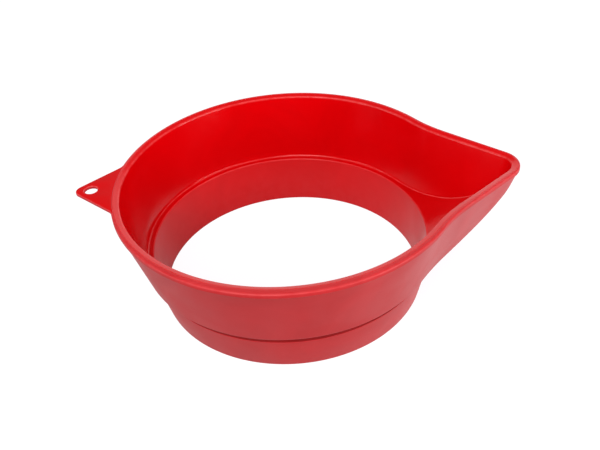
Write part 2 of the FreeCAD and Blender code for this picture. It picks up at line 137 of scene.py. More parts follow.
class Wiring:
    """Short calls for adding nodes to one tree and linking them."""

    def __init__(self, tree: bpy.types.NodeTree) -> None:
        """Keep the tree that the calls work on."""
        self.tree = tree

    def add(self, kind: str, **settings: object) -> bpy.types.Node:
        """Add a node and set its properties.

        Args:
            kind: The node's type name.
            **settings: Properties of the node and their values.

        Returns:
            The new node.
        """
        node = self.tree.nodes.new(kind)
        for name, value in settings.items():
            setattr(node, name, value)
        return node

    def feed(self, socket: bpy.types.NodeSocket, source: object) -> None:
        """Link a socket to the one that feeds it, or give it a plain value.

        Args:
            socket: The input to feed.
            source: An output socket or a value.
        """
        if isinstance(source, bpy.types.NodeSocket):
            self.tree.links.new(source, socket)
        else:
            socket.default_value = source

    def math(self, operation: str, first: object, second: object = 0.0) -> bpy.types.NodeSocket:
        """Add a Math node on two sources.

        Args:
            operation: The node's operation.
            first: First operand, a socket or a number.
            second: Second operand, a socket or a number.

        Returns:
            The node's output.
        """
        node = self.add("ShaderNodeMath", operation=operation)
        self.feed(node.inputs[0], first)
        self.feed(node.inputs[1], second)
        return node.outputs[0]

    def noise(self, place: bpy.types.NodeSocket, scale: object, detail: float,
              distortion: float = 0.0) -> bpy.types.NodeSocket:
        """Add a Noise Texture node.

        Args:
            place: The coordinates it reads.
            scale: Its scale, a socket or a number.
            detail: Its detail.
            distortion: Its distortion.

        Returns:
            The noise's value.
        """
        node = self.add("ShaderNodeTexNoise")
        for name, value in (("Vector", place), ("Scale", scale), ("Detail", detail),
                            ("Distortion", distortion)):
            self.feed(node.inputs[name], value)
        return node.outputs["Fac"]

    def deliver(self, geometry: bpy.types.NodeSocket, material: bpy.types.NodeSocket) -> None:
        """End a Geometry Nodes tree: make the instances real, set the material and put it out.

        Args:
            geometry: What the tree has made.
            material: The tree's material input.
        """
        real = self.add("GeometryNodeRealizeInstances")
        self.feed(real.inputs["Geometry"], geometry)
        dressed = self.add("GeometryNodeSetMaterial")
        self.feed(dressed.inputs["Geometry"], real.outputs["Geometry"])
        self.feed(dressed.inputs["Material"], material)
        out = self.add("NodeGroupOutput").inputs
        self.feed(out["Geometry"], dressed.outputs["Geometry"])

    def vector(self, x: object, y: object, z: object) -> bpy.types.NodeSocket:
        """Add a Combine XYZ node on three sources and return its output."""
        node = self.add("ShaderNodeCombineXYZ")
        for socket, source in zip(node.inputs, (x, y, z)):
            self.feed(socket, source)
        return node.outputs[0]

    def stretch(self, source: object, low: float, high: float, to_low: float,
                to_high: float) -> bpy.types.NodeSocket:
        """Map a source's range smoothly to another range.

        Args:
            source: The value to map.
            low: Start of its range.
            high: End of its range.
            to_low: Result at the start.
            to_high: Result at the end.

        Returns:
            The mapped value.
        """
        node = self.add("ShaderNodeMapRange", interpolation_type="SMOOTHSTEP")
        for name, value in (("Value", source), ("From Min", low), ("From Max", high),
                            ("To Min", to_low), ("To Max", to_high)):
            self.feed(node.inputs[name], value)
        return node.outputs["Result"]


def run_nodes(tree: bpy.types.NodeTree, name: str, values: dict[str, object]) -> bpy.types.Mesh:
    """Run a Geometry Nodes tree once and return its result as a plain mesh.

    Args:
        tree: The tree to run.
        name: Name of the mesh.
        values: Values of the tree's named inputs.

    Returns:
        The mesh that the tree makes.
    """
    carrier = bpy.data.objects.new(name + "_carrier", bpy.data.meshes.new(name + "_seed"))
    bpy.context.scene.collection.objects.link(carrier)
    modifier = carrier.modifiers.new("nodes", "NODES")
    modifier.node_group = tree
    for item in tree.interface.items_tree:
        if item.item_type == "SOCKET" and item.in_out == "INPUT" and item.name in values:
            modifier[item.identifier] = values[item.name]
    evaluated = carrier.evaluated_get(bpy.context.evaluated_depsgraph_get())
    mesh = bpy.data.meshes.new_from_object(evaluated)
    mesh.name = name
    seed = carrier.data
    carrier.modifiers.clear()
    bpy.data.objects.remove(carrier)
    bpy.data.meshes.remove(seed)
    return mesh


# --------------------------------------------------------------------------- finishes

def grain_group() -> bpy.types.NodeTree:
    """Build the shared group for the fine unevenness of a moulded surface.

    Returns:
        A shader group with a height for a Bump node and a value to add to a roughness.
    """
    tree = bpy.data.node_groups.new("moulded_grain", "ShaderNodeTree")
    group_input(tree, "Grain Scale", "Float", 3000.0)
    group_input(tree, "Grain Height", "Float", 1.0)
    group_input(tree, "Wave Scale", "Float", 300.0)
    group_input(tree, "Wave Height", "Float", 1.0)
    group_input(tree, "Smudge Scale", "Float", 55.0)
    group_input(tree, "Roughness Spread", "Float", 0.05)
    group_output(tree, "Height", "Float")
    group_output(tree, "Roughness Shift", "Float")
    wire = Wiring(tree)
    ends = wire.add("NodeGroupInput").outputs
    place = wire.add("ShaderNodeTexCoord").outputs["Object"]
    grain = wire.noise(place, ends["Grain Scale"], 2.0)
    wave = wire.noise(place, ends["Wave Scale"], 1.0)
    smudge = wire.noise(place, ends["Smudge Scale"], 5.0, 0.6)
    fine = wire.math("MULTIPLY", grain, ends["Grain Height"])
    broad = wire.math("MULTIPLY", wave, ends["Wave Height"])
    thin, thick = 0.35, 0.7
    patches = wire.stretch(smudge, thin, thick, -1.0, 1.0)
    out = wire.add("NodeGroupOutput").inputs
    wire.feed(out["Height"], wire.math("ADD", fine, broad))
    wire.feed(out["Roughness Shift"], wire.math("MULTIPLY", patches, ends["Roughness Spread"]))
    return tree


def tint_group() -> bpy.types.NodeTree:
    """Build the shared group for the plastic's colour: pigment flow, paler sharp edges that are
    wear and painted highlight together, and a painted highlight line in the wall's crease.

    Returns:
        A shader group with a colour, and a mask of the paler edges and the painted highlight line.
    """
    tree = bpy.data.node_groups.new("pigment_rub_and_highlight", "ShaderNodeTree")
    group_input(tree, "Colour", "Color", (0.6, 0.01, 0.015, 1.0))
    group_input(tree, "Deep Colour", "Color", (0.5, 0.006, 0.01, 1.0))
    group_input(tree, "Rubbed Colour", "Color", (0.7, 0.1, 0.1, 1.0))
    group_input(tree, "Flow Scale", "Float", 38.0)
    group_input(tree, "Rub", "Float", 0.3)
    group_input(tree, "Scuff Scale", "Float", 420.0)
    group_output(tree, "Colour", "Color")
    group_output(tree, "Rubbed And Highlighted", "Float")
    wire = Wiring(tree)
    ends = wire.add("NodeGroupInput").outputs
    place = wire.add("ShaderNodeTexCoord").outputs["Object"]
    flow = wire.noise(place, ends["Flow Scale"], 4.0, 1.2)
    pale, full = 0.3, 0.7
    depth = wire.stretch(flow, pale, full, 0.0, 1.0)
    pigment = wire.add("ShaderNodeMix", data_type="RGBA")
    wire.feed(pigment.inputs["Factor"], depth)
    wire.feed(pigment.inputs["A"], ends["Colour"])
    wire.feed(pigment.inputs["B"], ends["Deep Colour"])
    # mask from the mesh: sharp edges, paled as wear and as painted highlight, and the wall's
    # crease, paled only as painted highlight
    edge = wire.add("ShaderNodeAttribute", attribute_name=FunnelMoulding.RUB_ATTRIBUTE)
    scuff = wire.noise(place, ends["Scuff Scale"], 3.0)
    spared, scuffed, least_rub_and_highlight = 0.35, 0.65, 0.35
    broken = wire.stretch(scuff, spared, scuffed, least_rub_and_highlight, 1.0)
    rubbed_and_highlighted = wire.math("MULTIPLY", edge.outputs["Fac"], broken)
    rub = wire.math("MULTIPLY", rubbed_and_highlighted, ends["Rub"])
    worn_and_highlighted = wire.add("ShaderNodeMix", data_type="RGBA")
    wire.feed(worn_and_highlighted.inputs["Factor"], rub)
    wire.feed(worn_and_highlighted.inputs["A"], pigment.outputs["Result"])
    wire.feed(worn_and_highlighted.inputs["B"], ends["Rubbed Colour"])
    out = wire.add("NodeGroupOutput").inputs
    wire.feed(out["Colour"], worn_and_highlighted.outputs["Result"])
    wire.feed(out["Rubbed And Highlighted"], rub)
    return tree


@dataclass(frozen=True)
class PlasticFinish:
    """One finish of the red polypropylene.

    Args:
        name: Name of the material.
        colour: The pigment's colour, linear.
        deep_colour: The colour where the pigment is thicker, linear.
        rubbed_colour: The colour of the paler edges, which stands for wear and a painted
            highlight, and of the painted highlight line in the wall's crease, linear.
        rub: How far those edges and that line take that colour.
        roughness: Mean roughness of the surface.
        roughness_spread: How far smudges move the roughness.
        grain_scale: How fine the grain is.
        grain_height: Height of the grain against the waves.
        wave_height: Height of the slow waves in the surface.
        bump_distance: Height of the bump, in metres.
        specular: Specular level of the shader.
    """

    REFRACTION: ClassVar[float] = 1.49      # polypropylene
    RUBBED_ROUGHNESS: ClassVar[float] = 0.25

    name: str
    colour: tuple[float, float, float]
    deep_colour: tuple[float, float, float]
    rubbed_colour: tuple[float, float, float]
    rub: float
    roughness: float
    roughness_spread: float
    grain_scale: float
    grain_height: float
    wave_height: float
    bump_distance: float
    specular: float

    def material(self, grain: bpy.types.NodeTree, tint: bpy.types.NodeTree) -> bpy.types.Material:
        """Build the finish's material.

        Args:
            grain: The shared group for the surface's unevenness.
            tint: The shared group for the plastic's colour.

        Returns:
            The material.
        """
        material = bpy.data.materials.new(self.name)
        material.use_nodes = True
        material.node_tree.nodes.clear()
        wire = Wiring(material.node_tree)
        colours = wire.add("ShaderNodeGroup", node_tree=tint)
        for name, value in (("Colour", self.colour), ("Deep Colour", self.deep_colour),
                            ("Rubbed Colour", self.rubbed_colour)):
            wire.feed(colours.inputs[name], (*value, 1.0))
        wire.feed(colours.inputs["Rub"], self.rub)
        relief = wire.add("ShaderNodeGroup", node_tree=grain)
        wire.feed(relief.inputs["Grain Scale"], self.grain_scale)
        wire.feed(relief.inputs["Grain Height"], self.grain_height)
        wire.feed(relief.inputs["Wave Height"], self.wave_height)
        wire.feed(relief.inputs["Roughness Spread"], self.roughness_spread)
        shader = wire.add("ShaderNodeBsdfPrincipled")
        wire.feed(shader.inputs["Base Color"], colours.outputs["Colour"])
        duller = wire.math("MULTIPLY", colours.outputs["Rubbed And Highlighted"], self.RUBBED_ROUGHNESS)
        shifted = wire.math("ADD", relief.outputs["Roughness Shift"], duller)
        wire.feed(shader.inputs["Roughness"], wire.math("ADD", shifted, self.roughness))
        bump = wire.add("ShaderNodeBump")
        wire.feed(bump.inputs["Strength"], 1.0)
        wire.feed(bump.inputs["Distance"], self.bump_distance)
        wire.feed(bump.inputs["Height"], relief.outputs["Height"])
        wire.feed(shader.inputs["Normal"], bump.outputs["Normal"])
        wire.feed(shader.inputs["IOR"], self.REFRACTION)
        wire.feed(shader.inputs["Specular IOR Level"], self.specular)
        output = wire.add("ShaderNodeOutputMaterial")
        wire.feed(output.inputs["Surface"], shader.outputs["BSDF"])
        return material


# Each finish's pale edge colour stands both for wear on sharp edges and for a painted highlight on
# them and on the wall's crease.
POLISHED_RED = PlasticFinish(
    name="polished_red", colour=(0.63, 0.0, 0.0016), deep_colour=(0.58, 0.0, 0.0012),
    rubbed_colour=(0.85, 0.16, 0.16), rub=0.32, roughness=0.17, roughness_spread=0.03,
    grain_scale=2600.0, grain_height=0.1, wave_height=1.0, bump_distance=0.004 * MM,
    specular=0.25)
SATIN_RED = PlasticFinish(
    name="satin_red", colour=(0.56, 0.012, 0.016), deep_colour=(0.5, 0.009, 0.012),
    rubbed_colour=(0.66, 0.07, 0.075), rub=0.3, roughness=0.42, roughness_spread=0.04,
    grain_scale=4200.0, grain_height=1.0, wave_height=0.6, bump_distance=0.012 * MM,
    specular=0.35)
DRAWN_RED = PlasticFinish(
    name="drawn_red", colour=(0.68, 0.006, 0.009), deep_colour=(0.62, 0.004, 0.006),
    rubbed_colour=(0.72, 0.05, 0.055), rub=0.3, roughness=0.36, roughness_spread=0.05,
    grain_scale=3600.0, grain_height=0.7, wave_height=0.8, bump_distance=0.008 * MM,
    specular=0.3)
# painted shade: the groove under the shoulder is coloured darker than the satin around it,
# standing for the shade that falls in it
PAINTED_GROOVE_SHADE_RED = PlasticFinish(
    name="painted_groove_shade_red", colour=(0.3, 0.004, 0.005), deep_colour=(0.24, 0.003, 0.004),
    rubbed_colour=(0.56, 0.012, 0.016), rub=0.3, roughness=0.5, roughness_spread=0.08,
    grain_scale=3600.0, grain_height=0.8, wave_height=0.6, bump_distance=0.008 * MM,
    specular=0.2)


# --------------------------------------------------------------------------- the collar

@dataclass
class TurnedCollar:
    """Tapered ring that drops into the jar, swept round the axis by Geometry Nodes.

    Args:
        foot_outside: Radius of the outside at the lower edge.
        foot_inside: Radius of the inside at the lower edge.
        outer_draft: Slope of the outside from the axis, in degrees.
        inner_draft: Slope of the inside from the axis, in degrees.
        outer_top: Height at which the outside meets the bowl's mesh.
        inner_top: Height at which the inside meets the bowl's mesh.
        edge_rounding: Rounding of the lower edges.
        rounding_steps: Points on each rounding.
    """

    RISE_SIGN: ClassVar[float] = -1.0   # a swept section's Y points down on a circle

    foot_outside: float = 42.0 * MM
    foot_inside: float = 41.0 * MM
    outer_draft: float = 13.0
    inner_draft: float = 8.8
    outer_top: float = 10.8 * MM
    inner_top: float = 15.0 * MM
    edge_rounding: float = 0.3 * MM
    rounding_steps: int = 5

    def outside(self, height: float) -> float:
        """Return the outside's radius at a height."""
        return self.foot_outside + height * math.tan(math.radians(self.outer_draft))

    def inside(self, height: float) -> float:
        """Return the inside's radius at a height."""
        return self.foot_inside + height * math.tan(math.radians(self.inner_draft))

    def tree(self) -> bpy.types.NodeTree:
        """Build the tree that sweeps the collar's section round the axis.

        Returns:
            A Geometry Nodes tree whose inputs are the collar's sizes.
        """
        tree = bpy.data.node_groups.new("turned_collar", "GeometryNodeTree")
        group_input(tree, "Foot Outside", "Float", self.foot_outside)
        group_input(tree, "Foot Inside", "Float", self.foot_inside)
        group_input(tree, "Outer Draft", "Float", self.outer_draft)
        group_input(tree, "Inner Draft", "Float", self.inner_draft)
        group_input(tree, "Outer Top", "Float", self.outer_top)
        group_input(tree, "Inner Top", "Float", self.inner_top)
        group_input(tree, "Edge Rounding", "Float", self.edge_rounding)
        group_input(tree, "Rounding Steps", "Int", self.rounding_steps)
        group_input(tree, "Sections", "Int", STATIONS)
        group_input(tree, "Material", "Material")
        group_output(tree, "Geometry", "Geometry")
        wire = Wiring(tree)
        ends = wire.add("NodeGroupInput").outputs
        outer_slope = wire.math("TANGENT", wire.math("RADIANS", ends["Outer Draft"]))
        inner_slope = wire.math("TANGENT", wire.math("RADIANS", ends["Inner Draft"]))
        outer_run = wire.math("MULTIPLY", ends["Outer Top"], outer_slope)
        inner_run = wire.math("MULTIPLY", ends["Inner Top"], inner_slope)
        wall = wire.math("SUBTRACT", ends["Foot Inside"], ends["Foot Outside"])
        inner_rise = wire.math("MULTIPLY", ends["Inner Top"], self.RISE_SIGN)
        outer_rise = wire.math("MULTIPLY", ends["Outer Top"], self.RISE_SIGN)
        corners = [
            wire.vector(wire.math("ADD", wall, inner_run), inner_rise, 0.0),
            wire.vector(wall, 0.0, 0.0),
            wire.vector(0.0, 0.0, 0.0),
            wire.vector(outer_run, outer_rise, 0.0),
        ]
        line = wire.add("GeometryNodeMeshLine")
        wire.feed(line.inputs["Count"], len(corners))
        choice = wire.add("GeometryNodeIndexSwitch", data_type="VECTOR")
        while len(choice.index_switch_items) < len(corners):
            choice.index_switch_items.new()
        wire.feed(choice.inputs["Index"], wire.add("GeometryNodeInputIndex").outputs[0])
        for number, corner in enumerate(corners):
            wire.feed(choice.inputs[str(number)], corner)
        placed = wire.add("GeometryNodeSetPosition")
        wire.feed(placed.inputs["Geometry"], line.outputs["Mesh"])
        wire.feed(placed.inputs["Position"], choice.outputs[0])
        section = wire.add("GeometryNodeMeshToCurve")
        wire.feed(section.inputs["Mesh"], placed.outputs["Geometry"])
        rounded = wire.add("GeometryNodeFilletCurve")
        rounded.mode = "POLY"
        wire.feed(rounded.inputs["Curve"], section.outputs["Curve"])
        wire.feed(rounded.inputs["Count"], ends["Rounding Steps"])
        wire.feed(rounded.inputs["Radius"], ends["Edge Rounding"])
        circle = wire.add("GeometryNodeCurvePrimitiveCircle")
        wire.feed(circle.inputs["Resolution"], ends["Sections"])
        wire.feed(circle.inputs["Radius"], ends["Foot Outside"])
        upright = wire.add("GeometryNodeSetCurveNormal")
        upright.mode = "Z_UP"
        wire.feed(upright.inputs["Curve"], circle.outputs["Curve"])
        sweep = wire.add("GeometryNodeCurveToMesh")
        wire.feed(sweep.inputs["Curve"], upright.outputs["Curve"])
        wire.feed(sweep.inputs["Profile Curve"], rounded.outputs["Curve"])
        wire.deliver(sweep.outputs["Mesh"], ends["Material"])
        return tree

    def mesh(self, material: bpy.types.Material) -> bpy.types.Mesh:
        """Sweep the collar and return it as an open strip that the bowl's mesh closes."""
        return run_nodes(self.tree(), "collar_strip", {
            "Foot Outside": self.foot_outside, "Foot Inside": self.foot_inside,
            "Outer Draft": self.outer_draft, "Inner Draft": self.inner_draft,
            "Outer Top": self.outer_top, "Inner Top": self.inner_top,
            "Edge Rounding": self.edge_rounding, "Rounding Steps": self.rounding_steps,
            "Sections": STATIONS, "Material": material})


# --------------------------------------------------------------------------- the outline

@dataclass
class FunnelOutline:
    """Outline of the rim with its spout, and the outlines that lie inside it.

    Args:
        rim_radius: Radius of the rim's circle.
        spout_reach: Distance from the axis to the spout's tip.
        root_angle: Where the spout's side meets the rim's circle, degrees from X.
        tip_radius: Rounding of the tip.
        blend_radius: Hollow curve between the circle and the spout's side.
        tip_taper: How much of each inset the tip's rounding loses.
        least_tip_radius: The smallest rounding that the tip keeps.
        tip_stations: Sections from the tip's middle to its end.
        blend_end_station: Section at which the hollow curve meets the circle.
        tab_station: Section at which the tab's side leaves the circle.
        tab_root: Angle of that section from -X, in degrees.
    """

    rim_radius: float = 52.8976 * MM
    spout_reach: float = 71.3976 * MM
    root_angle: float = 28.5
    tip_radius: float = 7.7 * MM
    blend_radius: float = 50.0 * MM
    tip_taper: float = 0.967
    least_tip_radius: float = 0.3 * MM
    tip_stations: int = 14
    blend_end_station: int = 46
    tab_station: int = HALF_STATIONS - 18
    tab_root: float = 13.9

    slope: float = field(init=False)
    side_distance: float = field(init=False)
    normal: np.ndarray = field(init=False)
    along: np.ndarray = field(init=False)
    blend_centre: np.ndarray = field(init=False)

    def __post_init__(self) -> None:
        """Work out the spout's side and the centre of its hollow curve."""
        angle = math.radians(self.root_angle)
        root = self.rim_radius * np.array([math.cos(angle), math.sin(angle)])
        run = self.spout_reach - self.tip_radius - root[0]
        slant = math.hypot(run, root[1])
        self.slope = math.atan2(root[1], run) - math.asin(self.tip_radius / slant)
        self.side_distance = self.rim_radius * math.sin(angle + self.slope)
        self.normal = np.array([math.sin(self.slope), math.cos(self.slope)])
        self.along = np.array([math.cos(self.slope), -math.sin(self.slope)])
        offset = self.side_distance + self.blend_radius
        back = math.sqrt((self.rim_radius + self.blend_radius) ** 2 - offset ** 2)
        self.blend_centre = self.normal * offset + self.along * back

    def tip_radius_at(self, inset: float) -> float:
        """Return the tip's rounding at an inset from the rim's outline."""
        return max(self.tip_radius - inset * self.tip_taper, self.least_tip_radius)

    def half(self, inset: float) -> np.ndarray:
        """Place the sections of one half, from the spout's tip to the tab.

        Args:
            inset: Distance inside the rim's outline.

        Returns:
            An array of plan points, one for each section.
        """
        tip = self.tip_radius_at(inset)
        distance = self.side_distance - inset
        tip_centre = np.array([(distance - tip) / math.sin(self.slope), 0.0])
        turn = np.linspace(0.0, math.pi / 2 - self.slope, self.tip_stations + 1)
        tip_points = tip_centre + tip * np.stack([np.cos(turn), np.sin(turn)], 1)
        radius = self.blend_radius + inset
        side_end = tip_centre + self.normal * tip
        side_start = self.blend_centre - self.normal * radius
        to_side = math.atan2(*(-self.normal[::-1]))
        to_circle = math.atan2(-self.blend_centre[1], -self.blend_centre[0])
        count = self.blend_end_station - self.tip_stations
        side_share = self.side_share()
        points = []
        for step in range(1, count + 1):
            share = step / count
            if share <= side_share:
                points.append(side_end + (side_start - side_end) * (share / side_share))
            else:
                part = (share - side_share) / (1.0 - side_share)
                turned = to_side + (to_circle - to_side) * part
                spoke = np.array([math.cos(turned), math.sin(turned)])
                points.append(self.blend_centre + radius * spoke)
        first = math.atan2(self.blend_centre[1], self.blend_centre[0])
        last = math.pi - math.radians(self.tab_root)
        free = np.linspace(first, last, self.tab_station - self.blend_end_station + 1)[1:]
        behind = np.linspace(last, math.pi, HALF_STATIONS - self.tab_station + 1)[1:]
        turns = np.concatenate([free, behind])
        circle = (self.rim_radius - inset) * np.stack([np.cos(turns), np.sin(turns)], 1)
        return np.concatenate([tip_points, np.array(points), circle])

    def side_share(self) -> float:
        """Return the straight side's share of the run between the tip and the circle."""
        tip = np.array([(self.side_distance - self.tip_radius) / math.sin(self.slope), 0.0])
        side_end = tip + self.normal * self.tip_radius
        side_start = self.blend_centre - self.normal * self.blend_radius
        side = float(np.linalg.norm(side_start - side_end))
        to_side = math.atan2(*(-self.normal[::-1]))
        to_circle = math.atan2(-self.blend_centre[1], -self.blend_centre[0])
        return side / (side + self.blend_radius * abs(to_side - to_circle))

    def plan(self, inset: float) -> np.ndarray:
        """Place every section round the funnel at an inset.

        Args:
            inset: Distance inside the rim's outline.

        Returns:
            An array of plan points, anticlockwise from the spout's tip.
        """
        half = self.half(inset)
        mirrored = half[1:-1][::-1] * np.array([1.0, -1.0])
        return np.concatenate([half, mirrored])

    def at(self, inset: float, height: float) -> np.ndarray:
        """Place every section at an inset and a height, as points in space."""
        plan = self.plan(inset)
        return np.column_stack([plan, np.full(len(plan), height)])


def ring(radius: float, height: float) -> np.ndarray:
    """Place every section on a circle round the axis.

    Args:
        radius: The circle's radius.
        height: Its height.

    Returns:
        An array of points in space, anticlockwise from +X.
    """
    turn = np.arange(STATIONS) * (2.0 * math.pi / STATIONS)
    return np.column_stack([radius * np.cos(turn), radius * np.sin(turn),
                            np.full(STATIONS, height)])


@dataclass
class Leg:
    """One stretch of the section between two corners, at every section of the funnel.

    Args:
        start: Where the stretch starts at each section.
        end: Where it ends.
        rows: How many faces it is divided into.
        finish: Its finish, and that of the rounding at its end.
        rounding: Size of the rounding at its end, or 0 for a corner that isn't rounded.
        steps: How many faces that rounding has.
        rise: Height of the surface at each X, where the stretch follows one.
    """

    start: np.ndarray
    end: np.ndarray
    rows: int
    finish: Finish
    rounding: float = 0.0
    steps: int = 0
    rise: Optional[Callable[[np.ndarray], np.ndarray]] = None

    def length(self) -> np.ndarray:
        """Return the straight length of the stretch at each section."""
        return np.linalg.norm(self.end - self.start, axis=1)

    def at(self, share: np.ndarray) -> np.ndarray:
        """Return the points at a share of the stretch.

        Args:
            share: Share of the way from start to end, one for each section.

        Returns:
            The points, one for each section.
        """
        points = self.start + (self.end - self.start) * share[:, None]
        if self.rise is not None:
            miss_start = self.start[:, 2] - self.rise(self.start[:, 0])
            miss_end = self.end[:, 2] - self.rise(self.end[:, 0])
            miss = miss_start + (miss_end - miss_start) * share
            points[:, 2] = self.rise(points[:, 0]) + miss
        return points


# --------------------------------------------------------------------------- the moulding

@dataclass
class FunnelMoulding:
    """The whole funnel: one closed mesh of collar, ledge, bowl, spout, lip and tab.

    Args:
        collar: The turned collar that closes the section below.
        outline: The outline that the section is carried along.
        shoulder_height: Height of the shoulder on the outside.
        ledge_height: Height of the ledge on the inside, and of the spout's floor at its start.
        rim_height: Height of the rim.
        rim_bevel: How far the bevel inside the rim reaches in from its outline.
        bevel_drop: How far the bevel falls towards the inside.
        rim_crest: Width of the flat crest outside the bevel.
        rim_widening: How much wider the rim is at -Y.
        lip_height: Height of the lip's band.
        lip_overhang: How far the lip stands out past the wall.
        shoulder_inset: How far the shoulder's edge lies inside the rim's outline.
        ledge_inset: How far the ledge's corner lies inside the rim's outline.
        spout_tuck: How much further in the wall's foot lies along the spout.
        groove_depth: Depth of the groove under the shoulder.
        groove_height: Height of that groove.
        floor_start: Distance along X at which the spout's floor starts to rise.
        underside_radius: Radius of the underside's curve.
        floor_thickness: Thickness of the spout's floor.
        tab_thickness: Thickness of the tab.
        tab_reach: Distance from the axis to the tab's tip.
        tab_tip_radius: Rounding of the tab's tip.
        tab_corner: Angle from -X at which the tab's straight side would meet the rim, degrees.
        hole_reach: Distance from the axis to the middle of the hanging hole.
        hole_radius: Radius of the hanging hole.
        hole_steps: Corners round the hanging hole.
        hole_rounding: Rounding of the hole's edges.
        tab_rounding: Rounding of the tab's edges.
        tab_root_trim: Length of the tab's side that the curve at its root takes.
        rounding_steps: Faces on the rounding of the hole and of the tab.
        root_steps: Faces on the curve at the tab's root.
        side_points: Points on the tab's straight side.
        tip_points: Points on half the tab's tip.
        bore_margin: How far outside the bore a face still counts as inside the collar.
        top_margin: How far below the rim a face still counts as the tab's top.
        rub_angles: Outward turns at which the edges' paleness, wear and painted highlight
            together, starts and is full, in degrees.
    """

    # per-corner value for pale edges: wear on sharp edges, and painted highlight on them and on
    # the wall's crease
    RUB_ATTRIBUTE: ClassVar[str] = "edge_rub_and_highlight"

    collar: TurnedCollar = field(default_factory=TurnedCollar)
    outline: FunnelOutline = field(default_factory=FunnelOutline)
    shoulder_height: float = 14.5 * MM
    ledge_height: float = 15.6 * MM
    rim_height: float = 37.5 * MM
    rim_bevel: float = 2.5 * MM
    bevel_drop: float = 0.4 * MM
    rim_crest: float = 0.9 * MM
    rim_widening: float = 1.3 * MM
    lip_height: float = 1.5 * MM
    lip_overhang: float = 0.4 * MM
    shoulder_inset: float = 6.4 * MM
    ledge_inset: float = 7.5 * MM
    spout_tuck: float = 1.0 * MM
    groove_depth: float = 0.8 * MM
    groove_height: float = 2.7 * MM
    floor_start: float = 40.0 * MM
    underside_radius: float = 33.2 * MM
    floor_thickness: float = 1.1 * MM
    tab_thickness: float = 1.1 * MM
    tab_reach: float = 63.9976 * MM
    tab_tip_radius: float = 2.5 * MM
    tab_corner: float = 13.0
    hole_reach: float = 59.2976 * MM
    hole_radius: float = 2.0 * MM
    hole_steps: int = 72
    hole_rounding: float = 0.28 * MM
    tab_rounding: float = 0.32 * MM
    tab_root_trim: float = 0.9 * MM
    rounding_steps: int = 5
    root_steps: int = 5
    side_points: int = 13
    tip_points: int = 11
    bore_margin: float = 0.3 * MM
    top_margin: float = 0.1 * MM
    rub_angles: tuple[float, float] = (3.0, 12.0)

    def underside(self, x: np.ndarray) -> np.ndarray:
        """Return the height of the spout's underside at each X."""
        run = np.clip(x - self.floor_start, 0.0, self.underside_radius * ARC_REACH)
        fall = np.sqrt(self.underside_radius ** 2 - run ** 2)
        return self.shoulder_height + self.underside_radius - fall

    def floor(self, x: np.ndarray) -> np.ndarray:
        """Return the height of the spout's floor at each X."""
        radius = self.underside_radius - self.floor_thickness
        run = np.clip(x - self.floor_start, 0.0, radius * ARC_REACH)
        return self.ledge_height + radius - np.sqrt(radius ** 2 - run ** 2)

    def tucked(self, inset: float, height: float) -> np.ndarray:
        """Place the wall's foot, which lies further in along the spout than round the bowl.

        Args:
            inset: Distance inside the rim's outline round the bowl.
            height: Height of the foot.

        Returns:
            The points, one for each section.
        """
        station = np.abs((np.arange(STATIONS) + HALF_STATIONS) % STATIONS - HALF_STATIONS)
        share = np.clip(1.0 - station / self.outline.blend_end_station, 0.0, 1.0)
        weight = np.minimum(share * 2.0, 1.0)
        weight = weight ** 2 * (3.0 - 2.0 * weight)
        near = self.outline.at(inset, height)
        far = self.outline.at(inset + self.spout_tuck, height)
        return near + (far - near) * weight[:, None]

    def widened(self, inset: float, height: float) -> np.ndarray:
        """Place a line on the rim, which is a little wider along the -Y side.

        Args:
            inset: Distance inside the rim's outline everywhere else.
            height: Height of the line.

        Returns:
            The points, one for each section.
        """
        near = self.outline.at(inset, height)
        far = self.outline.at(inset + self.rim_widening, height)
        weight = np.clip(-near[:, 1] / self.outline.rim_radius, 0.0, 1.0) ** 2
        return near + (far - near) * weight[:, None]

    @staticmethod
    def where_meeting(foot: np.ndarray, top: np.ndarray,
                      surface: Callable[[np.ndarray], np.ndarray]) -> np.ndarray:
        """Find where the wall's straight lines come out of a surface.

        Args:
            foot: Lower ends of the lines.
            top: Upper ends of the lines.
            surface: Height of the surface at each X.

        Returns:
            The meeting points.
        """
        low = np.zeros(len(foot))
        high = np.ones(len(foot))
        for _ in range(50):
            middle = (low + high) / 2.0
            points = foot + (top - foot) * middle[:, None]
            under = points[:, 2] < surface(points[:, 0]) - 1e-9
            low = np.where(under, middle, low)
            high = np.where(under, high, middle)
        return foot + (top - foot) * high[:, None]

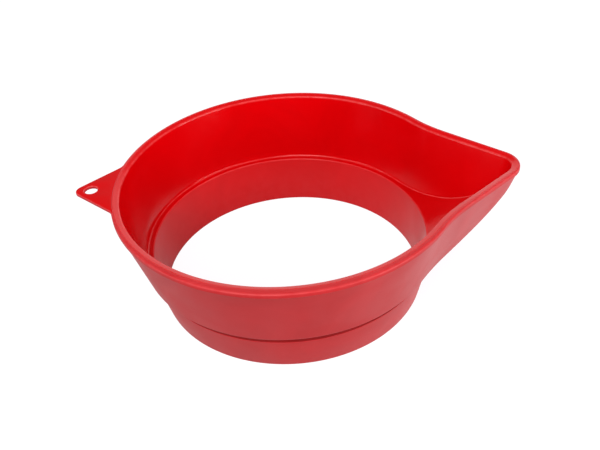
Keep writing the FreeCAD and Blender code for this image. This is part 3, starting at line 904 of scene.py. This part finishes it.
    def legs(self) -> dict[Stretch, Leg]:
        """Lay out the section's stretches from the bore, over the rim, to the collar."""
        plan = self.outline.at
        collar = self.collar
        lip_foot = self.rim_height - self.lip_height
        tab_foot = self.rim_height - self.tab_thickness
        bore = ring(collar.inside(self.ledge_height), self.ledge_height)
        rim_inner = self.widened(self.rim_bevel, self.rim_height - self.bevel_drop)
        rim_crest = self.widened(self.rim_crest, self.rim_height)
        rim_outer = plan(0.0, self.rim_height)
        ledge_edge = self.tucked(self.ledge_inset, self.ledge_height)
        wall_foot = self.where_meeting(ledge_edge, rim_inner, self.floor)
        band_middle = plan(0.0, tab_foot)
        band_low = plan(0.0, lip_foot)
        wall_top = plan(self.lip_overhang, lip_foot)
        shoulder_edge = self.tucked(self.shoulder_inset, self.shoulder_height)
        wall_low = self.where_meeting(shoulder_edge, wall_top, self.underside)
        groove_radius = collar.outside(self.shoulder_height) - self.groove_depth
        groove_foot = self.shoulder_height - self.groove_height
        groove_top = ring(groove_radius, self.shoulder_height)
        groove_low = ring(groove_radius, groove_foot)
        collar_top = ring(collar.outside(groove_foot), groove_foot)
        inner_weld = ring(collar.inside(collar.inner_top), collar.inner_top)
        outer_weld = ring(collar.outside(collar.outer_top), collar.outer_top)
        polished, satin = Finish.POLISHED, Finish.SATIN
        return {
            Stretch.BORE: Leg(inner_weld, bore, 1, Finish.DRAWN, 0.3 * MM, 5),
            Stretch.FLOOR: Leg(bore, wall_foot, 26, polished, 0.6 * MM, 6, self.floor),
            Stretch.WALL: Leg(wall_foot, rim_inner, 16, polished, 0.3 * MM, 6),
            Stretch.BEVEL: Leg(rim_inner, rim_crest, 3, polished, 0.3 * MM, 4),
            Stretch.CREST: Leg(rim_crest, rim_outer, 1, satin, 0.7 * MM, 7),
            Stretch.BAND: Leg(rim_outer, band_middle, 1, satin),
            Stretch.LOWER_BAND: Leg(band_middle, band_low, 1, satin, 0.16 * MM, 3),
            Stretch.LIP_FOOT: Leg(band_low, wall_top, 1, satin, 0.14 * MM, 3),
            Stretch.OUTSIDE: Leg(wall_top, wall_low, 16, satin, 0.5 * MM, 6),
            Stretch.UNDERSIDE: Leg(wall_low, groove_top, 22, satin, 0.2 * MM, 4,
                                   self.underside),
            # the groove's faces get the darker red that is painted shade
            Stretch.GROOVE: Leg(groove_top, groove_low, 1, Finish.PAINTED_GROOVE_SHADE, 0.15 * MM, 3),
            Stretch.GROOVE_FOOT: Leg(groove_low, collar_top, 1, satin, 0.3 * MM, 5),
            Stretch.COLLAR: Leg(collar_top, outer_weld, 1, satin),
        }

    @staticmethod
    def rows_of(legs: dict[Stretch, Leg]) -> tuple[list[np.ndarray], dict[Stretch, int]]:
        """Turn the stretches into rows of points, with their corners rounded.

        Args:
            legs: The stretches, in order.

        Returns:
            The rows, and for each stretch the number of its first row.
        """
        rows: list[np.ndarray] = []
        firsts: dict[Stretch, int] = {}
        none = np.zeros(STATIONS)
        run = list(legs.values())
        for stretch, leg, before, after in zip(legs, run, [None] + run[:-1], run[1:] + [None]):
            length = leg.length()
            low = np.minimum(before.rounding / length, ROUNDING_LIMIT) if before else none
            high = 1.0 - np.minimum(leg.rounding / length, ROUNDING_LIMIT)
            shared = before is not None and not before.rounding
            firsts[stretch] = len(rows) - int(shared)
            for share in FunnelMoulding.spaced(leg.rows)[int(shared):]:
                rows.append(leg.at(low + (high - low) * share))
            if leg.rounding:
                entry = np.minimum(leg.rounding / after.length(), ROUNDING_LIMIT)
                first, last = leg.at(high), after.at(entry)
                for step in range(1, leg.steps):
                    rows.append(FunnelMoulding.rounded(first, leg.end, last, step / leg.steps))
        return rows, firsts

    @staticmethod
    def spaced(count: int) -> list[float]:
        """Return shares from 0 to 1, with a narrow face at both ends of a long stretch."""
        if count < 4:
            return list(np.linspace(0.0, 1.0, count + 1))
        narrow = NARROW_FACE / count
        return [0.0, *np.linspace(narrow, 1.0 - narrow, count - 1), 1.0]

    @staticmethod
    def rounded(first: np.ndarray, corner: np.ndarray, last: np.ndarray,
                part: float) -> np.ndarray:
        """Return points on the roundings that cut off corners.

        Args:
            first: Where each rounding starts.
            corner: The corners.
            last: Where each rounding ends.
            part: Share of the way along the rounding.

        Returns:
            The points.
        """
        one = first + (corner - first) * ARC_PULL
        two = last + (corner - last) * ARC_PULL
        rest = 1.0 - part
        return (rest ** 3 * first + 3 * rest ** 2 * part * one
                + 3 * rest * part ** 2 * two + part ** 3 * last)

    def tab_outline(self) -> np.ndarray:
        """Return the tab's free outline from its +Y root to its -Y root, in plan.

        Returns:
            The points, without the two that lie on the rim.
        """
        radius = self.outline.rim_radius
        angle = math.radians(self.tab_corner)
        corner = radius * np.array([-math.cos(angle), math.sin(angle)])
        tip = np.array([-(self.tab_reach - self.tab_tip_radius), 0.0])
        span = tip - corner
        reach = math.hypot(*span)
        slope = math.atan2(-span[1], -span[0]) - math.asin(self.tab_tip_radius / reach)
        normal = np.array([-math.sin(slope), math.cos(slope)])
        touch = tip + normal * self.tab_tip_radius
        root_angle = math.radians(self.outline.tab_root)
        root = radius * np.array([-math.cos(root_angle), math.sin(root_angle)])
        toward = (touch - corner) / np.linalg.norm(touch - corner)
        joined = corner + toward * self.tab_root_trim
        points = [self.rounded(root, corner, joined, step / self.root_steps)
                  for step in range(1, self.root_steps)]
        points += [joined + (touch - joined) * share
                   for share in np.linspace(0.0, 1.0, self.side_points)]
        first = math.atan2(normal[1], normal[0])
        for turned in np.linspace(first, math.pi, self.tip_points)[1:]:
            spoke = np.array([math.cos(turned), math.sin(turned)])
            points.append(tip + self.tab_tip_radius * spoke)
        half = np.array(points)
        return np.concatenate([half, half[:-1][::-1] * np.array([1.0, -1.0])])

    def tab_edge(self, plan: np.ndarray, count: int) -> np.ndarray:
        """Carry the tab's rounded edge along its outline.

        Args:
            plan: The outline.
            count: How many points the edge has from the top face to the lower face.

        Returns:
            An array of points: outline by edge by three.
        """
        before = np.concatenate([plan[:1], plan[:-1]])
        after = np.concatenate([plan[1:], plan[-1:]])
        along = after - before
        along /= np.linalg.norm(along, axis=1)[:, None]
        inward = np.column_stack([-along[:, 1], along[:, 0]])
        top, low = self.rim_height, self.rim_height - self.tab_thickness
        size = self.tab_rounding
        profile = []
        for centre_z, start in ((top - size, 90.0), (low + size, 0.0)):
            for step in range(self.rounding_steps + 1):
                turned = math.radians(start - 90.0 * step / self.rounding_steps)
                profile.append((size * (1.0 - math.cos(turned)),
                                centre_z + size * math.sin(turned)))
        path = np.array(profile)
        lengths = np.concatenate([[0.0], np.cumsum(np.linalg.norm(np.diff(path, axis=0), axis=1))])
        wanted = np.linspace(0.0, lengths[-1], count)
        insets = np.interp(wanted, lengths, path[:, 0])
        heights = np.interp(wanted, lengths, path[:, 1])
        places = np.zeros((len(plan), count, 3))
        places[:, :, :2] = plan[:, None, :] + inward[:, None, :] * insets[None, :, None]
        places[:, :, 2] = heights[None, :]
        return places

    def add_tab(self, mesh: bmesh.types.BMesh, grid: list[list[bmesh.types.BMVert]],
                top_row: int, low_row: int) -> None:
        """Add the tab between two rows of the rim, with its hanging hole.

        Args:
            mesh: The mesh under construction.
            grid: Its corners by row and section.
            top_row: Row at the outer edge of the rim's flat top.
            low_row: Row on the lip's band at the tab's lower face.
        """
        first = self.outline.tab_station
        last = STATIONS - first
        plan = self.tab_outline()
        count = low_row - top_row + 1
        places = self.tab_edge(plan, count)
        columns = [[grid[row][first] for row in range(top_row, low_row + 1)]]
        for station in range(len(plan)):
            columns.append([mesh.verts.new(places[station, row]) for row in range(count)])
        columns.append([grid[row][last] for row in range(top_row, low_row + 1)])
        for left, right in zip(columns[:-1], columns[1:]):
            for row in range(count - 1):
                mesh.faces.new((left[row], right[row], right[row + 1], left[row + 1]))
        rings = []
        for row, column in ((top_row, 0), (low_row, count - 1)):
            rim = [grid[row][station] for station in range(last, first - 1, -1)]
            free = [corners[column] for corners in columns[1:-1]]
            rings.append(rim + free)
        edge = self.hole_rounding
        mouths = []
        lower_face = self.rim_height - self.tab_thickness
        for loop, side, level in zip(rings, (1.0, -1.0), (self.rim_height, lower_face)):
            previous = self.hole_ring(mesh, self.hole_radius + edge, level)
            self.fill(mesh, loop, previous)
            for step in range(1, self.rounding_steps + 1):
                turned = math.pi / 2.0 * step / self.rounding_steps
                radius = self.hole_radius + edge * (1.0 - math.sin(turned))
                height = level - side * edge * (1.0 - math.cos(turned))
                current = self.hole_ring(mesh, radius, height)
                self.bridge(mesh, previous, current)
                previous = current
            mouths.append(previous)
        self.bridge(mesh, mouths[0], mouths[1])

    def hole_ring(self, mesh: bmesh.types.BMesh, radius: float,
                  height: float) -> list[bmesh.types.BMVert]:
        """Add the corners of one circle round the hanging hole.

        Args:
            mesh: The mesh under construction.
            radius: The circle's radius.
            height: Its height.

        Returns:
            The corners, in order.
        """
        turns = np.arange(self.hole_steps) * (2.0 * math.pi / self.hole_steps)
        return [mesh.verts.new((-self.hole_reach + radius * math.cos(turn),
                                radius * math.sin(turn), height)) for turn in turns]

    @staticmethod
    def fill(mesh: bmesh.types.BMesh, outer: list[bmesh.types.BMVert],
             inner: list[bmesh.types.BMVert]) -> None:
        """Fill the flat face between an outline and a hole with triangles."""
        edges = []
        for loop in (outer, inner):
            for first, second in zip(loop, loop[1:] + loop[:1]):
                edges.append(mesh.edges.get((first, second)) or mesh.edges.new((first, second)))
        bmesh.ops.triangle_fill(mesh, use_beauty=True, use_dissolve=False, edges=edges)

    @staticmethod
    def bridge(mesh: bmesh.types.BMesh, outer: list[bmesh.types.BMVert],
               inner: list[bmesh.types.BMVert]) -> None:
        """Join two closed loops of equal length with faces."""
        count = len(outer)
        for k in range(count):
            following = (k + 1) % count
            mesh.faces.new((outer[k], outer[following], inner[following], inner[k]))

    def collar_finish(self, face: bmesh.types.BMFace) -> Finish:
        """Return the finish of one of the collar's faces: drawn inside, satin outside."""
        middle = face.calc_center_median()
        within = middle.xy.length < self.collar.inside(middle.z) + self.bore_margin
        return Finish.DRAWN if within else Finish.SATIN

    def tab_finish(self, face: bmesh.types.BMFace) -> Finish:
        """Return the finish of one of the tab's faces: polished on top, satin elsewhere."""
        on_top = face.calc_center_median().z > self.rim_height - self.top_margin
        return Finish.POLISHED if on_top else Finish.SATIN

    def add_collar(self, mesh: bmesh.types.BMesh, material: bpy.types.Material) -> None:
        """Put the swept collar into the empty mesh and mark its finishes."""
        strip = self.collar.mesh(material)
        mesh.from_mesh(strip)
        for face in mesh.faces:
            face.material_index = self.collar_finish(face).value
        bpy.data.meshes.remove(strip)

    @staticmethod
    def finishes_of(legs: dict[Stretch, Leg], firsts: dict[Stretch, int],
                    count: int) -> list[Finish]:
        """List the finish of each row of faces.

        Args:
            legs: The stretches.
            firsts: The number of each stretch's first row.
            count: How many rows of faces there are.

        Returns:
            The finishes, in order.
        """
        ends = list(firsts.values())[1:] + [count]
        finishes = []
        for leg, first, end in zip(legs.values(), firsts.values(), ends):
            finishes += [leg.finish] * (end - first)
        return finishes

    def add_faces(self, mesh: bmesh.types.BMesh, grid: list[list[bmesh.types.BMVert]],
                  finishes: list[Finish], tab_rows: range) -> None:
        """Span the rows with faces, and leave the tab's root open.

        Args:
            mesh: The mesh under construction.
            grid: Its corners by row and section.
            finishes: The finish of each row of faces.
            tab_rows: The rows that the tab interrupts.
        """
        tab = range(self.outline.tab_station, STATIONS - self.outline.tab_station)
        for row, finish in enumerate(finishes):
            for station in range(STATIONS):
                if row in tab_rows and station in tab:
                    continue
                following = (station + 1) % STATIONS
                face = mesh.faces.new((grid[row][station], grid[row][following],
                                       grid[row + 1][following], grid[row + 1][station]))
                face.material_index = finish.value

    def build(self, finishes: dict[Finish, bpy.types.Material]) -> bpy.types.Object:
        """Build the moulding and dress it.

        Args:
            finishes: The material of each finish.

        Returns:
            The moulding's object, with its place in its mesh.
        """
        legs = self.legs()
        rows, firsts = self.rows_of(legs)
        mesh = bmesh.new()
        self.add_collar(mesh, finishes[Finish.SATIN])
        layer = mesh.verts.layers.float.new(self.RUB_ATTRIBUTE)
        grid = [[mesh.verts.new(point) for point in row] for row in rows]
        top_row = firsts[Stretch.CREST] + legs[Stretch.CREST].rows
        low_row = firsts[Stretch.LOWER_BAND]
        self.add_faces(mesh, grid, self.finishes_of(legs, firsts, len(rows) - 1),
                       range(top_row, low_row))
        # painted highlight: the middle of the rounding where the floor meets the wall gets the
        # full edge value, a pale line standing for the shine in that hollow
        crease = firsts[Stretch.WALL] - legs[Stretch.FLOOR].steps // 2
        for corner in grid[crease]:
            corner[layer] = 1.0
        known = set(mesh.faces)
        self.add_tab(mesh, grid, top_row, low_row)
        for face in mesh.faces:
            if face not in known:
                face.material_index = self.tab_finish(face).value
        bmesh.ops.remove_doubles(mesh, verts=mesh.verts, dist=WELD_DISTANCE)
        bmesh.ops.recalc_face_normals(mesh, faces=mesh.faces)
        open_edges = sum(1 for edge in mesh.edges if not edge.is_manifold)
        LOG.info("funnel_moulding: %d faces, %d open edges, volume %.1f mm3", len(mesh.faces),
                 open_edges, mesh.calc_volume(signed=True) / MM ** 3)
        if open_edges:
            raise RuntimeError(f"the moulding has {open_edges} open edges")
        for face in mesh.faces:
            face.smooth = True
        self.mark_edges(mesh)
        data = bpy.data.meshes.new("funnel_moulding")
        mesh.to_mesh(data)
        mesh.free()
        for finish in Finish:
            data.materials.append(finishes[finish])
        piece = bpy.data.objects.new("funnel_moulding", data)
        bpy.context.scene.collection.objects.link(piece)
        return piece

    def mark_edges(self, mesh: bmesh.types.BMesh) -> None:
        """Write onto each corner how sharply the surface turns outwards there, which pales the
        edge as wear and as a painted highlight.
        """
        layer = mesh.verts.layers.float[self.RUB_ATTRIBUTE]
        least, most = (math.radians(angle) for angle in self.rub_angles)
        for corner in mesh.verts:
            turn = max((edge.calc_face_angle_signed(0.0) for edge in corner.link_edges),
                       default=0.0)
            sharp = min(max((turn - least) / (most - least), 0.0), 1.0)
            filled = any(len(face.verts) == 3 for face in corner.link_faces)
            corner[layer] = 0.0 if filled else max(corner[layer], sharp)


# --------------------------------------------------------------------------- the gate marks

@dataclass
class GateMarks:
    """Small round stubs where the plastic entered the mould, set out by Geometry Nodes.

    Args:
        name: Name of the piece.
        count: How many marks there are.
        start_angle: Angle of the first, degrees from +X.
        step_angle: Angle from each to the next.
        reach: Distance from the axis to their middles.
        height: Height of their middles.
        tilt: How far each leans towards the axis, in degrees.
        mark_radius: Radius of a mark.
        mark_height: How far a mark stands out.
    """

    name: str
    count: int
    start_angle: float
    step_angle: float
    reach: float
    height: float
    tilt: float
    mark_radius: float = 0.5 * MM
    mark_height: float = 0.16 * MM

    SEED: ClassVar[int] = 7
    WIDTH_RANGE: ClassVar[tuple[float, float]] = (0.88, 1.12)

    @staticmethod
    def tree() -> bpy.types.NodeTree:
        """Build the tree that sets flattened domes out on an arc round the axis.

        Returns:
            A Geometry Nodes tree whose inputs are the marks' number, places and sizes.
        """
        tree = bpy.data.node_groups.new("marks_on_an_arc", "GeometryNodeTree")
        for name in ("Start Angle", "Step Angle", "Reach", "Height", "Tilt", "Mark Radius",
                     "Mark Height"):
            group_input(tree, name, "Float", 0.0)
        group_input(tree, "Count", "Int", 1)
        group_input(tree, "Seed", "Int", GateMarks.SEED)
        group_input(tree, "Material", "Material")
        group_output(tree, "Geometry", "Geometry")
        wire = Wiring(tree)
        ends = wire.add("NodeGroupInput").outputs
        line = wire.add("GeometryNodeMeshLine")
        wire.feed(line.inputs["Count"], ends["Count"])
        index = wire.add("GeometryNodeInputIndex").outputs[0]
        turned = wire.math("MULTIPLY", index, ends["Step Angle"])
        angle = wire.math("RADIANS", wire.math("ADD", turned, ends["Start Angle"]))
        placed = wire.add("GeometryNodeSetPosition")
        wire.feed(placed.inputs["Geometry"], line.outputs["Mesh"])
        across = wire.math("MULTIPLY", wire.math("COSINE", angle), ends["Reach"])
        aside = wire.math("MULTIPLY", wire.math("SINE", angle), ends["Reach"])
        wire.feed(placed.inputs["Position"], wire.vector(across, aside, ends["Height"]))
        dome = wire.add("GeometryNodeMeshUVSphere")
        wire.feed(dome.inputs["Segments"], 24)
        wire.feed(dome.inputs["Rings"], 12)
        wire.feed(dome.inputs["Radius"], 1.0)
        spread = wire.add("FunctionNodeRandomValue", data_type="FLOAT")
        wire.feed(spread.inputs[2], GateMarks.WIDTH_RANGE[0])
        wire.feed(spread.inputs[3], GateMarks.WIDTH_RANGE[1])
        wire.feed(spread.inputs["Seed"], ends["Seed"])
        width = wire.math("MULTIPLY", ends["Mark Radius"], spread.outputs[1])
        copies = wire.add("GeometryNodeInstanceOnPoints")
        wire.feed(copies.inputs["Points"], placed.outputs["Geometry"])
        wire.feed(copies.inputs["Instance"], dome.outputs["Mesh"])
        lean = wire.math("MULTIPLY", wire.math("RADIANS", ends["Tilt"]), -1.0)
        wire.feed(copies.inputs["Rotation"], wire.vector(0.0, lean, angle))
        wire.feed(copies.inputs["Scale"], wire.vector(width, width, ends["Mark Height"]))
        wire.deliver(copies.outputs["Instances"], ends["Material"])
        return tree

    def build(self, tree: bpy.types.NodeTree, material: bpy.types.Material) -> bpy.types.Object:
        """Run the tree for these marks.

        Args:
            tree: The shared tree.
            material: The marks' material.

        Returns:
            The marks' object.
        """
        data = run_nodes(tree, self.name, {
            "Count": self.count, "Start Angle": self.start_angle, "Step Angle": self.step_angle,
            "Reach": self.reach, "Height": self.height, "Tilt": self.tilt,
            "Mark Radius": self.mark_radius, "Mark Height": self.mark_height,
            "Seed": self.SEED, "Material": material})
        data.shade_smooth()
        piece = bpy.data.objects.new(self.name, data)
        bpy.context.scene.collection.objects.link(piece)
        LOG.info("%s: %d faces", self.name, len(data.polygons))
        return piece


# --------------------------------------------------------------------------- the studio

@dataclass
class SoftLight:
    """One square soft light that looks at the funnel.

    Args:
        name: Name of the light.
        place: Where it hangs.
        size: Length of its side.
        power: Its power in watts.
    """

    name: str
    place: tuple[float, float, float]
    size: float
    power: float

    def build(self) -> None:
        """Hang the light and turn it to the funnel."""
        data = bpy.data.lights.new(self.name, "AREA")
        data.shape = "SQUARE"
        data.size = self.size
        data.energy = self.power
        lamp = bpy.data.objects.new(self.name, data)
        bpy.context.scene.collection.objects.link(lamp)
        lamp.location = self.place
        lamp.rotation_euler = (-Vector(self.place)).to_track_quat("-Z", "Y").to_euler()


@dataclass
class Studio:
    """Floor, backdrop, lights and camera.

    Args:
        floor_size: Length of the floor's side.
        floor_colour: The floor's colour, linear.
        floor_bounce: Its colour as far as it lights the funnel, linear.
        floor_light: Colour of the floor's own shine, linear.
        floor_glow: How brightly it shines to the camera.
        floor_sheen: How brightly it shines in reflections, on the left and on the right.
        floor_roughness: Its roughness.
        sheen_span: The X between which it changes from one to the other.
        sky: Brightness of the surroundings.
        azimuth: Where the camera stands, degrees from -Y towards +X.
        elevation: How far it looks down, in degrees.
        roll: How far it is turned about its own axis, in degrees.
        place: Where it stands.
        lens: Its focal length in millimetres, on a sensor 36 mm wide.
    """

    floor_size: float = 6.0
    floor_colour: tuple[float, float, float] = (0.16, 0.16, 0.16)
    floor_bounce: tuple[float, float, float] = (0.2, 0.2, 0.2)
    floor_light: tuple[float, float, float] = (1.0, 0.98, 1.0)
    floor_glow: float = 0.92
    floor_sheen: tuple[float, float] = (0.5, 1.05)
    floor_roughness: float = 0.9
    sheen_span: tuple[float, float] = (-60.0 * MM, 100.0 * MM)
    sky: float = 0.22
    azimuth: float = 0.914
    elevation: float = 37.613
    roll: float = -4.329
    place: tuple[float, float, float] = (6.82 * MM, -208.102 * MM, 179.041 * MM)
    lens: float = 49.547
    lights: tuple[SoftLight, ...] = (
        SoftLight("overhead", (0.0, 0.0, 0.9), 0.9, 1.5),
        SoftLight("front", (-0.25, -0.75, 0.8), 0.7, 8.6),
        SoftLight("right", (0.85, -0.5, 0.3), 0.6, 8.4),
        SoftLight("left", (-0.85, -0.3, 0.3), 0.6, 3.4),
        SoftLight("back", (0.1, 0.9, 0.35), 0.7, 2.2),
    )

    def build(self) -> None:
        """Set out the whole studio."""
        self.floor()
        self.surroundings()
        for light in self.lights:
            light.build()
        self.camera()

    def floor(self) -> None:
        """Lay the pale floor under the collar."""
        half = self.floor_size / 2.0
        data = bpy.data.meshes.new("floor")
        corners = [(-half, -half, 0.0), (half, -half, 0.0), (half, half, 0.0), (-half, half, 0.0)]
        data.from_pydata(corners, [], [(0, 1, 2, 3)])
        data.materials.append(self.floor_material())
        piece = bpy.data.objects.new("floor", data)
        bpy.context.scene.collection.objects.link(piece)
        piece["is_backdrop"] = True

    def floor_material(self) -> bpy.types.Material:
        """Make the floor's material: bright to the eye and in reflections, dim as a light.

        Returns:
            The material.
        """
        material = bpy.data.materials.new("studio_floor")
        material.use_nodes = True
        wire = Wiring(material.node_tree)
        shader = material.node_tree.nodes["Principled BSDF"]
        path = wire.add("ShaderNodeLightPath").outputs
        bounced = path["Is Diffuse Ray"]
        shade = wire.add("ShaderNodeMix", data_type="RGBA")
        wire.feed(shade.inputs["Factor"], bounced)
        wire.feed(shade.inputs["A"], (*self.floor_colour, 1.0))
        wire.feed(shade.inputs["B"], (*self.floor_bounce, 1.0))
        wire.feed(shader.inputs["Base Color"], shade.outputs["Result"])
        wire.feed(shader.inputs["Emission Color"], (*self.floor_light, 1.0))
        seen = wire.math("MULTIPLY", path["Is Camera Ray"], self.floor_glow)
        place = wire.add("ShaderNodeTexCoord").outputs["Object"]
        split = wire.add("ShaderNodeSeparateXYZ")
        wire.feed(split.inputs[0], place)
        sheen = wire.stretch(split.outputs["X"], *self.sheen_span, *self.floor_sheen)
        mirrored = wire.math("MULTIPLY", path["Is Glossy Ray"], sheen)
        wire.feed(shader.inputs["Emission Strength"], wire.math("ADD", seen, mirrored))
        wire.feed(shader.inputs["Roughness"], self.floor_roughness)
        wire.feed(shader.inputs["Specular IOR Level"], 0.0)
        return material

    def surroundings(self) -> None:
        """Fill the surroundings with even white light."""
        world = bpy.data.worlds.new("studio")
        world.use_nodes = True
        world.node_tree.nodes.clear()
        wire = Wiring(world.node_tree)
        seen = wire.add("ShaderNodeLightPath").outputs["Is Camera Ray"]
        lighting = wire.add("ShaderNodeBackground")
        wire.feed(lighting.inputs["Strength"], self.sky)
        backdrop = wire.add("ShaderNodeBackground")
        wire.feed(backdrop.inputs["Strength"], 1.0)
        for node in (lighting, backdrop):
            wire.feed(node.inputs["Color"], (1.0, 1.0, 1.0, 1.0))
        choice = wire.add("ShaderNodeMixShader")
        wire.feed(choice.inputs[0], seen)
        wire.feed(choice.inputs[1], lighting.outputs["Background"])
        wire.feed(choice.inputs[2], backdrop.outputs["Background"])
        output = wire.add("ShaderNodeOutputWorld")
        wire.feed(output.inputs["Surface"], choice.outputs["Shader"])
        bpy.context.scene.world = world
        bpy.context.scene.view_settings.view_transform = "Standard"

    def camera(self) -> None:
        """Stand the camera up and make it the scene's."""
        turned, raised, rolled = (math.radians(angle) for angle in
                                  (self.azimuth, self.elevation, self.roll))
        back = Vector((math.sin(turned) * math.cos(raised),
                       -math.cos(turned) * math.cos(raised), math.sin(raised)))
        right = Vector((math.cos(turned), math.sin(turned), 0.0))
        up = back.cross(right)
        tilted_right = right * math.cos(rolled) + up * math.sin(rolled)
        tilted_up = up * math.cos(rolled) - right * math.sin(rolled)
        data = bpy.data.cameras.new("camera")
        data.sensor_width = SENSOR_WIDTH
        data.lens = self.lens
        data.clip_start = 0.01
        camera = bpy.data.objects.new("camera", data)
        bpy.context.scene.collection.objects.link(camera)
        axes = Matrix((tilted_right, tilted_up, back)).transposed().to_4x4()
        camera.matrix_world = Matrix.Translation(self.place) @ axes
        bpy.context.scene.camera = camera


# --------------------------------------------------------------------------- everything

def settle(piece: bpy.types.Object, replaced: tuple[str, ...] = ()) -> None:
    """Tie a piece to the funnel's body.

    Args:
        piece: The finished piece.
        replaced: The CAD parts that it stands for.
    """
    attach(piece, BODY)
    if replaced:
        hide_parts(*replaced)
    low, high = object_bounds()
    LOG.info("%s is in place; the model now spans %s", piece.name,
             [round((b - a) / MM, 2) for a, b in zip(low, high)])


def main() -> None:
    """Build the funnel, its marks and the studio, in that order."""
    logging.basicConfig(level=logging.INFO, format="%(name)s: %(message)s")
    grain, tint = grain_group(), tint_group()
    plastics = (POLISHED_RED, SATIN_RED, DRAWN_RED, PAINTED_GROOVE_SHADE_RED)
    finishes = {finish: plastic.material(grain, tint)
                for finish, plastic in zip(Finish, plastics)}
    moulding = FunnelMoulding()
    settle(moulding.build(finishes), ("jar_collar", "flared_bowl", "pouring_spout",
                                      "hanging_tab"))
    tree = GateMarks.tree()
    ledge_marks = GateMarks("ledge_gate_marks", count=2, start_angle=69.0, step_angle=65.0,
                            reach=LEDGE_MARK_REACH, height=moulding.ledge_height, tilt=0.0)
    settle(ledge_marks.build(tree, finishes[Finish.POLISHED]))
    collar = moulding.collar
    collar_mark = GateMarks("collar_gate_mark", count=1, start_angle=-7.0, step_angle=0.0,
                            reach=collar.inside(COLLAR_MARK_HEIGHT), height=COLLAR_MARK_HEIGHT,
                            tilt=90.0 - collar.inner_draft)
    settle(collar_mark.build(tree, finishes[Finish.DRAWN]))
    Studio().build()


if __name__ == "__main__":
    main()
